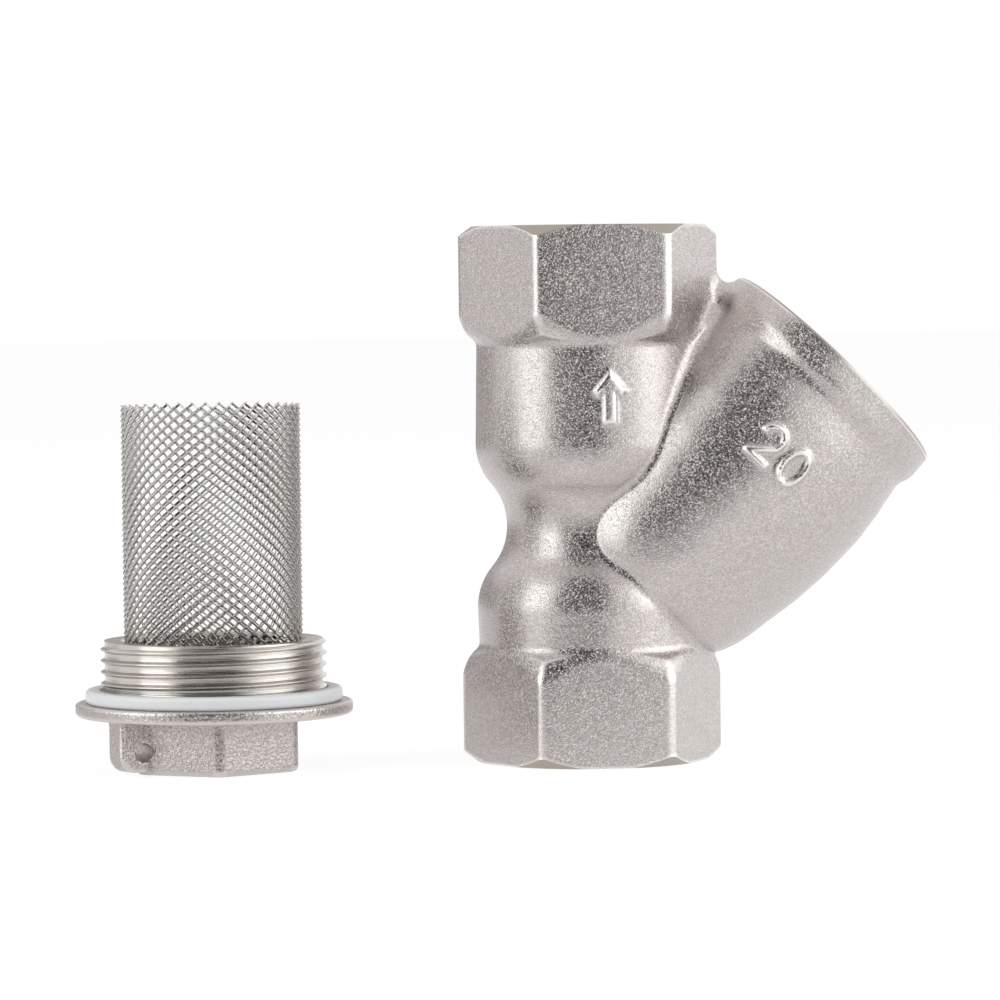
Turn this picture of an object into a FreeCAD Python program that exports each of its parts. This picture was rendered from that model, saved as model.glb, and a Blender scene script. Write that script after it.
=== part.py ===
import FreeCAD, Part
import math
import os

# Coarse filter for a 3/4 inch water line: a forged Y-shaped housing, and the screwed cap that
# closes its slanted branch. The cap is off and stands beside the housing on its hexagon head,
# with its sealing gasket on its flange and the screen standing in its socket.
# All sizes are in millimetres. The housing stands on its inlet port, whose face centre is the
# origin. +Z runs along the pipe line to the outlet port, and the branch leans towards +X.

# Housing, outside, along the pipe line
body_length = 71.5
hex_across_flats = 30.0
hex_corner_radius = 0.9
lower_hex_height = 12.9
upper_hex_height = 12.8
hex_shoulder_height = 1.5
port_face_radius = 15.6
port_chamfer_angle = 37.0
chamber_radius = 15.2
lower_chamber_end = 20.8
upper_chamber_start = 41.5
waist_radius = 11.15
waist_height = 31.3

# Housing, outside, along the branch, with distances from where its axis crosses the line's axis
branch_angle = 45.0
branch_crossing_height = 18.8
branch_mouth_distance = 46.9
branch_collar_radius = 17.6
branch_collar_height = 3.6
branch_collar_edge = 0.3
branch_neck_height = 1.8
branch_neck_radius = 17.15
barrel_belly_radius = 18.15
barrel_belly_distance = 30.0
barrel_nose_radius = 15.4
barrel_nose_distance = 6.0
barrel_nose_round = 3.0

# Housing, inside
port_bore_radius = 12.06
port_bore_length = 13.0
port_bore_step = 0.5
inlet_chamber_radius = 11.2
outlet_chamber_radius = 11.6
outlet_floor_height = 34.9
seat_distance = 9.2
seat_depth = 2.8
seat_opening_radius = 10.3
seat_side_clearance = 0.15
seat_end_clearance = 0.2
cavity_radius = 13.7
cleaning_bore_radius = 14.19
cleaning_bore_length = 9.5

# Cap
cap_head_across_flats = 21.3
cap_head_height = 7.4
cap_head_round = 0.8
cap_flange_radius = 18.35
cap_flange_thickness = 1.7
cap_flange_round = 0.4
cap_thread_radius = 14.95
cap_collar_height = 8.2
cap_rim_chamfer = 0.8
cap_relief_radius = 14.0
cap_relief_height = 2.3
cap_hollow_radius = 10.2
cap_hollow_floor = 8.2
cap_head_hollow_radius = 7.9
cap_head_floor = 3.2
screen_socket_lift = 1.5
screen_socket_clearance = 0.1

# Lug on the cap's head, with a hole for a sealing wire
lug_reach = 15.6
lug_width = 2.7
lug_lift = 0.5
lug_end_round = 2.3
lug_edge_round = 0.5
lug_side = -150.0
seal_hole_radius = 1.25
seal_hole_reach = 12.0
seal_hole_height = 3.1

# Gasket
gasket_radius = 17.0
gasket_thickness = 1.8
gasket_round = 0.3
gasket_bore_clearance = 0.15

# Screen: a tube of expanded sheet, whose openings are diamonds
screen_radius = 11.85
screen_thickness = 0.6
screen_columns = 16
screen_row_pitch = 3.78
screen_strand_width = 0.85
screen_foot_gap = 0.05

# Where the cap stands, from the housing's axis
cap_stand_x = -51.0
cap_stand_y = -4.0

# Sizes that follow from those above
hex_reach = hex_across_flats / 2 / math.cos(math.radians(30))
port_chamfer_rise = (hex_reach - port_face_radius) * math.tan(math.radians(port_chamfer_angle))
seat_radius = screen_radius + seat_side_clearance
flange_top = cap_head_height + cap_flange_thickness
collar_top = flange_top + cap_collar_height
socket_floor = flange_top + screen_socket_lift
socket_radius = screen_radius + screen_socket_clearance
gasket_bore_radius = cap_thread_radius + gasket_bore_clearance
screen_foot = socket_floor + screen_foot_gap
screen_end = flange_top + gasket_thickness + branch_mouth_distance - seat_distance - seat_end_clearance

TINY = 1e-4
CENTRE = FreeCAD.Vector(0, 0, 0)
Y_AXIS = FreeCAD.Vector(0, 1, 0)
Z_AXIS = FreeCAD.Vector(0, 0, 1)


class Outline:
    """Half a round section, drawn as radius and height, and then turned about the Z axis."""

    def __init__(self, radius, height):
        self.start = FreeCAD.Vector(radius, 0, height)
        self.at = self.start
        self.edges = []

    def line(self, radius, height):
        end = FreeCAD.Vector(radius, 0, height)
        self.edges.append(Part.LineSegment(self.at, end).toShape())
        self.at = end
        return self

    def arc(self, through, end):
        """An arc through one point to the next, each given as radius and height."""
        middle = FreeCAD.Vector(through[0], 0, through[1])
        last = FreeCAD.Vector(end[0], 0, end[1])
        self.edges.append(Part.Arc(self.at, middle, last).toShape())
        self.at = last
        return self

    def arc_about(self, centre_radius, centre_height, radius, height):
        """An arc of less than half a turn about a known centre."""
        centre = FreeCAD.Vector(centre_radius, 0, centre_height)
        end = FreeCAD.Vector(radius, 0, height)
        halfway = (self.at - centre + end - centre).normalize()
        middle = centre + halfway * (end - centre).Length
        return self.arc((middle.x, middle.z), (radius, height))

    def ogee(self, radius, height):
        """Two equal arcs, one each way, that leave and arrive along the axis."""
        step = radius - self.at.x
        rise = height - self.at.z
        bend = math.copysign((rise * rise + step * step) / (4 * abs(step)), step)
        start = self.at
        self.arc_about(start.x + bend, start.z, start.x + step / 2, start.z + rise / 2)
        return self.arc_about(radius - bend, height, radius, height)

    def solid(self):
        self.line(self.start.x, self.start.z)
        return Part.Face(Part.Wire(self.edges)).revolve(CENTRE, Z_AXIS, 360)


def turned(shape, axis, angle, lift=0.0):
    """A copy turned about an axis through the origin, then raised."""
    copy = shape.copy()
    copy.rotate(CENTRE, axis, angle)
    copy.translate(Z_AXIS * lift)
    return copy


def along_branch(shape):
    """A copy of a shape drawn along Z, laid along the branch from where the two axes cross."""
    return turned(shape, Y_AXIS, branch_angle, branch_crossing_height)


def prism(sides, corner_radius, height, first_corner=0.0):
    """A regular prism standing on Z = 0, given the radius of its corners."""
    angles = [math.radians(first_corner + 360.0 * index / sides) for index in range(sides + 1)]
    corners = [FreeCAD.Vector(corner_radius * math.cos(a), corner_radius * math.sin(a), 0) for a in angles]
    corners[-1] = corners[0]
    return Part.Face(Part.makePolygon(corners)).extrude(Z_AXIS * height)


def upright_edges(shape):
    return [edge for edge in shape.Edges if abs(edge.tangentAt(edge.FirstParameter).z) > 0.999]


def round_rims(shape, rounding, places):
    """Rounds the circular edges about Z that lie at the given radii and heights."""
    rims = []
    for edge in shape.Edges:
        if not isinstance(edge.Curve, Part.Circle):
            continue
        for radius, height in places:
            if abs(edge.Curve.Radius - radius) < TINY and abs(edge.Curve.Center.z - height) < TINY:
                rims.append(edge)
    return shape.makeFillet(rounding, rims)


def port_end(height):
    """A hexagon for the spanner: chamfered at the port face, sloping in to the chamber above."""
    top = height + hex_shoulder_height
    block = prism(6, hex_reach, top)
    block = block.makeFillet(hex_corner_radius, upright_edges(block))
    limit = Outline(0, 0)
    limit.line(port_face_radius, 0)
    limit.line(hex_reach, port_chamfer_rise)
    limit.line(hex_reach, height)
    limit.line(chamber_radius, top)
    limit.line(0, top)
    return block.common(limit.solid())


def run_outside():
    """The line's body: a hexagon at each end and two chambers with a waist between them."""
    lower_end = port_end(lower_hex_height)
    upper_end = turned(port_end(upper_hex_height), Y_AXIS, 180, body_length)
    low = lower_hex_height + hex_shoulder_height
    high = body_length - upper_hex_height - hex_shoulder_height
    chambers = Outline(0, low)
    chambers.line(chamber_radius, low)
    chambers.line(chamber_radius, lower_chamber_end)
    chambers.ogee(waist_radius, waist_height)
    chambers.ogee(chamber_radius, upper_chamber_start)
    chambers.line(chamber_radius, high)
    chambers.line(0, high)
    return lower_end.fuse([upper_end, chambers.solid()])


def branch_outside():
    """The slanted barrel: a round nose, a slight belly, a neck and the collar of the mouth."""
    collar_foot = branch_mouth_distance - branch_collar_height
    neck = collar_foot - branch_neck_height
    nose_end = barrel_nose_distance + barrel_nose_round
    nose_flat = barrel_nose_radius - barrel_nose_round
    barrel = Outline(0, barrel_nose_distance)
    barrel.line(nose_flat, barrel_nose_distance)
    barrel.arc_about(nose_flat, nose_end, barrel_nose_radius, nose_end)
    barrel.arc((barrel_belly_radius, barrel_belly_distance), (branch_neck_radius, neck))
    barrel.line(branch_collar_radius, collar_foot)
    barrel.line(branch_collar_radius, branch_mouth_distance - branch_collar_edge)
    barrel.line(branch_collar_radius - branch_collar_edge, branch_mouth_distance)
    barrel.line(0, branch_mouth_distance)
    return along_branch(barrel.solid())


def port_inside(chamber, dome_centre):
    """A port's bore and the chamber behind it, which ends in a dome."""
    bore = Outline(0, 0)
    bore.line(port_bore_radius, 0)
    bore.line(port_bore_radius, port_bore_length)
    bore.line(chamber, port_bore_length + port_bore_step)
    bore.line(chamber, dome_centre)
    bore.arc_about(0, dome_centre, 0, dome_centre + chamber)
    return bore.solid()


def branch_inside():
    """From the inlet chamber out: the opening, the screen's seat, the cavity and the cap's bore."""
    bore_foot = branch_mouth_distance - cleaning_bore_length
    seat_top = seat_distance + seat_depth
    bore = Outline(0, 0)
    bore.line(seat_opening_radius, 0)
    bore.line(seat_opening_radius, seat_distance)
    bore.line(seat_radius, seat_distance)
    bore.line(seat_radius, seat_top)
    bore.line(cavity_radius, seat_top + cavity_radius - seat_radius)
    bore.line(cavity_radius, bore_foot)
    bore.line(cleaning_bore_radius, bore_foot)
    bore.line(cleaning_bore_radius, branch_mouth_distance)
    bore.line(0, branch_mouth_distance)
    return along_branch(bore.solid())


def housing():
    """Water comes in below, turns up through the seat into the screen, and leaves round it."""
    inlet = port_inside(inlet_chamber_radius, branch_crossing_height)
    outlet = port_inside(outlet_chamber_radius, body_length - outlet_floor_height - outlet_chamber_radius)
    outlet = turned(outlet, Y_AXIS, 180, body_length)
    outside = run_outside().fuse(branch_outside()).removeSplitter()
    return outside.cut([inlet, outlet, branch_inside()]).removeSplitter()


def sealing_lug():
    """A tab on one corner of the cap's head, rounded at its lower outer corner."""
    lug = Part.makeBox(lug_reach, lug_width, cap_head_height - lug_lift,
                       FreeCAD.Vector(0, -lug_width / 2, lug_lift))
    foot = [edge for edge in lug.Edges if edge.BoundBox.XMin > lug_reach - TINY
            and edge.BoundBox.ZMax < lug_lift + TINY]
    lug = lug.makeFillet(lug_end_round, foot)
    middle = lug_reach / 2
    rim = [edge for edge in lug.Edges if edge.BoundBox.XMax > middle and edge.BoundBox.YLength < TINY
           and edge.BoundBox.ZMin < cap_head_height - TINY]
    lug = lug.makeFillet(lug_edge_round, rim)
    return turned(lug, Z_AXIS, lug_side)


def cap_outside():
    """Hexagon head with its lug, flange, thread relief and the collar that carries the thread."""
    head_reach = cap_head_across_flats / 2 / math.cos(math.radians(30))
    head = prism(6, head_reach, cap_head_height, -90)
    foot = [edge for edge in head.Edges if edge.BoundBox.ZMax < TINY]
    head = head.makeFillet(cap_head_round, upright_edges(head) + foot)
    flange = Part.makeCylinder(cap_flange_radius, cap_flange_thickness, Z_AXIS * cap_head_height)
    flange = round_rims(flange, cap_flange_round, [(cap_flange_radius, cap_head_height),
                                                   (cap_flange_radius, flange_top)])
    relief_top = flange_top + cap_relief_height
    collar = Outline(0, flange_top)
    collar.line(cap_relief_radius, flange_top)
    collar.line(cap_relief_radius, relief_top)
    collar.line(cap_thread_radius, relief_top + cap_thread_radius - cap_relief_radius)
    collar.line(cap_thread_radius, collar_top - cap_rim_chamfer)
    collar.line(cap_thread_radius - cap_rim_chamfer, collar_top)
    collar.line(0, collar_top)
    return head.fuse([sealing_lug(), flange, collar.solid()])


def cap_hollow():
    """The socket that holds the screen's foot, and the lightening hollow below it."""
    hollow = Outline(0, cap_head_floor)
    hollow.line(cap_head_hollow_radius, cap_head_floor)
    hollow.line(cap_head_hollow_radius, cap_hollow_floor)
    hollow.line(cap_hollow_radius, cap_hollow_floor)
    hollow.line(cap_hollow_radius, socket_floor)
    hollow.line(socket_radius, socket_floor)
    hollow.line(socket_radius, collar_top)
    hollow.line(0, collar_top)
    return hollow.solid()


def cap():
    """The plug that closes the branch, bored for the screen and cross-drilled for a sealing wire."""
    start = FreeCAD.Vector(seal_hole_reach, -lug_reach, seal_hole_height)
    drill = Part.makeCylinder(seal_hole_radius, 2 * lug_reach, start, Y_AXIS)
    drill = drill.common(Part.makeBox(lug_reach, 4 * lug_width, cap_head_height,
                                      FreeCAD.Vector(0, -2 * lug_width, 0)))
    return cap_outside().cut([cap_hollow(), turned(drill, Z_AXIS, lug_side)]).removeSplitter()


def gasket():
    """A flat ring that lies on the flange, round the collar."""
    low = flange_top
    high = flange_top + gasket_thickness
    ring = Outline(gasket_bore_radius, low)
    ring.line(gasket_radius, low)
    ring.line(gasket_radius, high)
    ring.line(gasket_bore_radius, high)
    return round_rims(ring.solid(), gasket_round, [(gasket_radius, low), (gasket_radius, high)])


def diamond_cutter(half_width, half_height):
    """A diamond bar that points along X through the screen's wall."""
    depth = screen_thickness + 2 * screen_strand_width
    near = screen_radius - screen_thickness - screen_strand_width
    places = [(0, -half_height), (half_width, 0), (0, half_height), (-half_width, 0), (0, -half_height)]
    corners = [FreeCAD.Vector(near, across, up) for across, up in places]
    return Part.Face(Part.makePolygon(corners)).extrude(FreeCAD.Vector(depth, 0, 0))


def screen():
    """Rows of diamonds, each row half a column round from the next, cut by the tube's two ends."""
    length = screen_end - screen_foot
    sides = 2 * screen_columns
    rows = round(length / screen_row_pitch)
    pitch = length / rows
    facet = 2 * screen_radius * math.sin(math.pi / sides)
    strand_slope = math.hypot(facet, pitch / 2)
    open_share = 1 - screen_strand_width * strand_slope / (facet * pitch)
    cutter = diamond_cutter(facet * open_share, pitch / 2 * open_share)
    tube = prism(sides, screen_radius, length).cut(prism(sides, screen_radius - screen_thickness, length))
    cutters = []
    for side in range(sides):
        for row in range(rows + side % 2):
            height = pitch * (row + 0.5 * (1 - side % 2))
            cutters.append(turned(cutter, Z_AXIS, 360.0 * side / sides, height))
    return turned(tube.cut(cutters), Z_AXIS, 0, screen_foot)


def main():
    """Writes each piece, with the cap and what it carries moved to where they stand."""
    stand = FreeCAD.Vector(cap_stand_x, cap_stand_y, 0)
    cap_pieces = {"cap": cap(), "gasket": gasket(), "screen": screen()}
    pieces = {"housing": housing()}
    for name, shape in cap_pieces.items():
        shape.translate(stand)
        pieces[name] = shape
    os.makedirs("parts", exist_ok=True)
    for name, shape in pieces.items():
        solid = shape.Solids[0] if len(shape.Solids) == 1 else shape
        solid.exportStep("parts/" + name + ".step")
        print(name, "solids", len(shape.Solids), "valid", shape.isValid(), "volume", round(shape.Volume, 1))


main()
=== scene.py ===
"""Looks of the coarse filter: forged housing, cap, gasket and screen in a plain studio."""

import logging
import math
from dataclasses import dataclass, field
from enum import Enum, IntEnum
from itertools import product
from typing import Callable, ClassVar, Sequence

import bpy
import numpy as np
from mathutils import Matrix, Vector


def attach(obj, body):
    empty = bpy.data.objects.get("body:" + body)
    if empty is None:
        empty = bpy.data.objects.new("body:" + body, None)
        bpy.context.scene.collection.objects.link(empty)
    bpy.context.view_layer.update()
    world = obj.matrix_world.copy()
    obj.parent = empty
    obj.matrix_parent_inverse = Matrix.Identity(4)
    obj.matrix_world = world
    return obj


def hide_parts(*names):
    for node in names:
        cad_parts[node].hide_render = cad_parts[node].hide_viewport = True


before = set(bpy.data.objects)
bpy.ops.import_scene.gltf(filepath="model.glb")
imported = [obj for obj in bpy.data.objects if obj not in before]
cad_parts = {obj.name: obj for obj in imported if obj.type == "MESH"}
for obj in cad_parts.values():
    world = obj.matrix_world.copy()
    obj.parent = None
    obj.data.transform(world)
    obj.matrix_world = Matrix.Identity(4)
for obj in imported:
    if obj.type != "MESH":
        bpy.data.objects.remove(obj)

MM = 0.001
SHARP = 32.0
LOG = logging.getLogger("coarse_filter")

Field = Callable[[np.ndarray], np.ndarray]
Place = tuple[float, float]
Corner = tuple[float, float, float]


def rounded(corners: Sequence[Corner], chord: float = 0.15) -> np.ndarray:
    """Lays arcs into the corners of a closed outline.

    Args:
        corners: Radius, height and rounding of each corner, in order.
        chord: Longest chord of an arc.

    Returns:
        The outline's points, one row each.
    """
    points: list[np.ndarray] = []
    places = [np.array(corner[:2]) for corner in corners]
    for index, here in enumerate(places):
        rounding = corners[index][2]
        if rounding <= 0:
            points.append(here)
            continue
        back = places[index - 1] - here
        ahead = places[(index + 1) % len(places)] - here
        back, ahead = back / np.linalg.norm(back), ahead / np.linalg.norm(ahead)
        half = math.acos(float(np.clip(back @ ahead, -1, 1))) / 2
        bisector = (back + ahead) / np.linalg.norm(back + ahead)
        centre = here + bisector * rounding / math.sin(half)
        start = here + back * rounding / math.tan(half) - centre
        end = here + ahead * rounding / math.tan(half) - centre
        first = math.atan2(start[1], start[0])
        sweep = (math.atan2(end[1], end[0]) - first + math.pi) % (2 * math.pi) - math.pi
        steps = max(3, math.ceil(abs(sweep) * rounding / chord))
        for step in range(steps + 1):
            angle = first + sweep * step / steps
            points.append(centre + rounding * np.array((math.cos(angle), math.sin(angle))))
    return np.array(points)


def ogee(start: Place, end: Place) -> list[Corner]:
    """Joins two lines along the axis by two equal arcs, as from a chamber to the waist.

    Args:
        start: Radius and height where the first arc leaves.
        end: Radius and height where the second arc arrives.

    Returns:
        Two corners, rounded just short of where their arcs would overlap.
    """
    step, rise = end[0] - start[0], end[1] - start[1]
    tangent = (step * step + rise * rise) / (4 * rise)
    bend = (step * step + rise * rise) / (4 * abs(step)) * 0.999
    return [(start[0], start[1] + tangent, bend), (end[0], end[1] - tangent, bend)]


def row_products(one: np.ndarray, two: np.ndarray) -> np.ndarray:
    """Scalar product of each row with the other array's row."""
    return np.einsum("ij,ij->i", one, two)


def squared_gaps(points: np.ndarray, start: np.ndarray, end: np.ndarray) -> np.ndarray:
    """Squared distance of flat points to a straight stretch.

    Args:
        points: The points, one row each.
        start: Where the stretch starts.
        end: Where it ends.

    Returns:
        The squares.
    """
    edge, away = end - start, points - start
    share = np.clip(away @ edge / (edge @ edge), 0, 1)
    gap = away - share[:, None] * edge
    return row_products(gap, gap)


def outline_distance(points: np.ndarray, outline: np.ndarray) -> np.ndarray:
    """Signed distance of flat points to a closed outline.

    Args:
        points: The points, one row each.
        outline: The outline's points in order.

    Returns:
        The distances, negative inside the outline.
    """
    nearest = np.full(len(points), np.inf)
    inside = np.zeros(len(points), bool)
    for start, end in zip(outline, np.roll(outline, -1, axis=0)):
        edge = end - start
        if edge @ edge < 1e-12:
            continue
        nearest = np.minimum(nearest, squared_gaps(points, start, end))
        if abs(edge[1]) > 1e-12:
            straddles = (start[1] <= points[:, 1]) != (end[1] <= points[:, 1])
            crossing = start[0] + edge[0] * (points[:, 1] - start[1]) / edge[1]
            inside ^= straddles & (points[:, 0] < crossing)
    return np.where(inside, -1, 1) * np.sqrt(nearest)


def stroke_distance(points: np.ndarray, strokes: Sequence[np.ndarray]) -> np.ndarray:
    """Distance of flat points to the nearest of several open lines.

    Args:
        points: The points, one row each.
        strokes: The lines' points in order.

    Returns:
        The distances.
    """
    nearest = np.full(len(points), np.inf)
    for stroke in strokes:
        for start, end in zip(stroke[:-1], stroke[1:]):
            nearest = np.minimum(nearest, squared_gaps(points, start, end))
    return np.sqrt(nearest)


class SectionTable:
    """Signed distance to a half section, looked up in a fine table of radius and height."""

    PITCH = 0.07
    MARGIN = 4.0

    def __init__(self, outline: np.ndarray) -> None:
        """Fills the table.

        Args:
            outline: The closed half section, as radius and height.
        """
        self.low = np.array((0.0, outline[:, 1].min() - self.MARGIN))
        high = outline.max(axis=0) + self.MARGIN
        self.counts = np.ceil((high - self.low) / self.PITCH).astype(int) + 1
        axes = [self.low[i] + self.PITCH * np.arange(self.counts[i]) for i in (0, 1)]
        grid = np.stack(np.meshgrid(*axes, indexing="ij"), axis=-1).reshape(-1, 2)
        self.table = outline_distance(grid, outline).reshape(self.counts)

    def sloped(self, radius: np.ndarray, height: np.ndarray) -> tuple[np.ndarray, np.ndarray]:
        """Looks the distance up, with its slope.

        Args:
            radius: Distance of each point from the axis.
            height: Its place along the axis.

        Returns:
            The distances by bilinear lookup, and how fast each grows along the axis.
        """
        across = np.clip((radius - self.low[0]) / self.PITCH, 0, self.counts[0] - 1.001)
        up = np.clip((height - self.low[1]) / self.PITCH, 0, self.counts[1] - 1.001)
        i, j = across.astype(int), up.astype(int)
        s, t = across - i, up - j
        lower = self.table[i, j] * (1 - s) + self.table[i + 1, j] * s
        upper = self.table[i, j + 1] * (1 - s) + self.table[i + 1, j + 1] * s
        return lower * (1 - t) + upper * t, np.clip((upper - lower) / self.PITCH, -0.999, 0.999)

    def __call__(self, radius: np.ndarray, height: np.ndarray) -> np.ndarray:
        """Distance at each radius and height."""
        return self.sloped(radius, height)[0]


def round_union(one: np.ndarray, two: np.ndarray, radius: float) -> np.ndarray:
    """Either solid, with a fillet of this radius where they meet."""
    reach = np.hypot(np.maximum(radius - one, 0), np.maximum(radius - two, 0))
    return np.maximum(radius, np.minimum(one, two)) - reach


def rolled_union(
    one: np.ndarray, two: np.ndarray, cosine: np.ndarray, radius: np.ndarray | float
) -> np.ndarray:
    """Either solid, with the fillet that a ball would leave where they meet at an angle.

    Args:
        one: Distance to the first solid.
        two: Distance to the second solid.
        cosine: Cosine of the angle between their outward normals.
        radius: The ball's radius.

    Returns:
        Signed distance, negative inside.
    """
    first, second = radius - one, radius - two
    squares = first * first + second * second - 2 * first * second * cosine
    reach = np.sqrt(np.maximum(squares, 0) / np.maximum(1 - cosine * cosine, 1e-4))
    rolls = (first > second * cosine) & (second > first * cosine)
    return np.where(rolls, radius - reach, np.minimum(one, two))


def round_meet(one: np.ndarray, two: np.ndarray, radius: np.ndarray | float) -> np.ndarray:
    """What both solids share, with its edge rounded to this radius."""
    reach = np.hypot(np.maximum(radius + one, 0), np.maximum(radius + two, 0))
    return np.minimum(-radius, np.maximum(one, two)) + reach


def hexagon_distance(
    across: np.ndarray, toward: np.ndarray, flats: float, rounding: float
) -> np.ndarray:
    """Distance to a hexagonal bar with rounded edges.

    Args:
        across: Coordinate towards a corner.
        toward: Coordinate towards a flat.
        flats: Size across the flats.
        rounding: Radius of the bar's edges.

    Returns:
        Signed distance, negative inside.
    """
    apothem = flats / 2 - rounding
    x, y = np.abs(across), np.abs(toward)
    fold = 2 * np.minimum(-math.sqrt(0.75) * x + 0.5 * y, 0)
    x, y = x + math.sqrt(0.75) * fold, y - 0.5 * fold
    half_side = apothem / math.sqrt(3)
    x, y = x - np.clip(x, -half_side, half_side), y - apothem
    return np.hypot(x, y) * np.sign(y) - rounding


@dataclass
class Shell:
    """Points in millimetres and the faces between them."""

    points: np.ndarray
    faces: list[Sequence[int]]


def values_on_grid(distance: Field, axes: Sequence[np.ndarray], block: int = 4) -> np.ndarray:
    """Evaluates a field in full only in the blocks that its surface can cross.

    Args:
        distance: The field.
        axes: The grid's places along X, Y and Z.
        block: Cells along each side of a block.

    Returns:
        The field's value at each grid place, and a block's middle value far from the surface.
    """
    pitch = axes[0][1] - axes[0][0]
    centres = [axis[::block] + pitch * (block - 1) / 2 for axis in axes]
    coarse = distance(np.stack(np.meshgrid(*centres, indexing="ij"), axis=-1).reshape(-1, 3))
    coarse = coarse.reshape([len(axis) for axis in centres])
    values = coarse
    for axis in range(3):
        values = np.repeat(values, block, axis=axis)
    values = values[: len(axes[0]), : len(axes[1]), : len(axes[2])].copy()
    reach, batch = pitch * block * 1.4, 400000
    near = np.argwhere(np.abs(values) < reach)
    for start in range(0, len(near), batch):
        part = near[start : start + batch]
        places = np.stack([axes[i][part[:, i]] for i in range(3)], axis=-1)
        values[part[:, 0], part[:, 1], part[:, 2]] = distance(places)
    return values


def pull_to_surface(distance: Field, points: np.ndarray, steps: int = 2) -> np.ndarray:
    """Moves points along the field's slope on to its surface.

    Args:
        distance: The field.
        points: The points, one row each.
        steps: How often.

    Returns:
        The moved points.
    """
    nudge, gentlest, stride = 0.03, 0.25, 0.3
    for _ in range(steps):
        value = distance(points)
        ahead = [distance(points + nudge * row) - value for row in np.eye(3)]
        slope = np.stack(ahead, axis=-1) / nudge
        steepness = np.maximum(row_products(slope, slope), gentlest)
        points = points - slope * np.clip(value / steepness, -stride, stride)[:, None]
    return points


def field_shell(
    distance: Field, low: Sequence[float], high: Sequence[float], pitch: float
) -> Shell:
    """Meshes the surface of a distance field with one point in each grid cell that it crosses.

    Args:
        distance: Signed distance in millimetres, negative inside.
        low: Lowest corner of the grid.
        high: Highest corner of the grid.
        pitch: Grid pitch.

    Returns:
        A closed shell of four-sided faces that look outwards.
    """
    axes = [np.arange(low[i], high[i] + pitch, pitch) for i in range(3)]
    values = values_on_grid(distance, axes)
    inside = values < 0
    cells = tuple(slice(0, size - 1) for size in inside.shape)
    shifts = list(product((0, 1), repeat=3))
    filled = sum(inside[tuple(slice(s, s + c.stop) for s, c in zip(shift, cells))].astype(np.uint8)
                 for shift in shifts)
    active = (filled > 0) & (filled < 8)
    cell = np.argwhere(active)
    number = np.full(active.shape, -1, np.int32)
    number[active] = np.arange(len(cell))
    total, hits = np.zeros((len(cell), 3)), np.zeros(len(cell))
    for start, end in product(shifts, shifts):
        if sum(end) - sum(start) != 1 or any(e < s for s, e in zip(start, end)):
            continue
        near = values[tuple((cell + start).T)]
        far = values[tuple((cell + end).T)]
        crossed = (near < 0) != (far < 0)
        share = np.where(crossed, near / np.where(near == far, 1, near - far), 0)
        place = np.array(start) + share[:, None] * (np.array(end) - start)
        total += place * crossed[:, None]
        hits += crossed
    points = np.array([axis[0] for axis in axes]) + pitch * (cell + total / hits[:, None])
    quads = []
    for axis in range(3):
        u, v = (axis + 1) % 3, (axis + 2) % 3
        here = inside[tuple(slice(0, -1) if i == axis else slice(None) for i in range(3))]
        there = inside[tuple(slice(1, None) if i == axis else slice(None) for i in range(3))]
        edge = np.argwhere(here != there)
        edge = edge[(edge[:, u] > 0) & (edge[:, v] > 0)]
        edge = edge[(edge[:, u] < active.shape[u]) & (edge[:, v] < active.shape[v])]
        ring = []
        for step_u, step_v in ((0, 0), (-1, 0), (-1, -1), (0, -1)):
            shifted = edge.copy()
            shifted[:, u] += step_u
            shifted[:, v] += step_v
            ring.append(number[tuple(shifted.T)])
        ring = np.stack(ring, axis=-1)
        outward = here[tuple(edge.T)]
        quads.append(np.where(outward[:, None], ring, ring[:, ::-1]))
    faces = np.concatenate(quads)
    points = pull_to_surface(distance, relaxed(points, faces), 3)
    return Shell(points, faces.tolist())


def relaxed(points: np.ndarray, quads: np.ndarray) -> np.ndarray:
    """Evens out the spacing of points by one step towards their neighbours' mean.

    Args:
        points: The points, one row each.
        quads: The four-sided faces between them.

    Returns:
        The moved points.
    """
    start = np.concatenate([quads[:, i] for i in range(4)])
    end = np.concatenate([quads[:, (i + 1) % 4] for i in range(4)])
    count = np.bincount(start, minlength=len(points))
    mean = np.stack([np.bincount(start, points[end, i], len(points)) for i in range(3)], axis=-1)
    return points * 0.4 + 0.6 * mean / np.maximum(count, 1)[:, None]


def turned_shell(outline: np.ndarray, sides: int = 144) -> Shell:
    """Revolves a closed outline about the Z axis.

    Args:
        outline: Radius and height of its points, anticlockwise.
        sides: Faces in one turn.

    Returns:
        The closed shell.
    """
    angles = np.arange(sides) * 2 * math.pi / sides
    points, rings = [], []
    for radius, height in outline:
        first = len(points)
        if radius < 1e-6:
            points.append((0.0, 0.0, height))
            rings.append([first] * sides)
        else:
            points += [(radius * math.cos(a), radius * math.sin(a), height) for a in angles]
            rings.append(list(range(first, first + sides)))
    faces = []
    for lower, upper in zip(rings, rings[1:] + rings[:1]):
        for side in range(sides):
            after = (side + 1) % sides
            loop = list(dict.fromkeys((lower[side], lower[after], upper[after], upper[side])))
            if len(loop) > 2:
                faces.append(loop)
    return Shell(np.array(points), faces)


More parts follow.
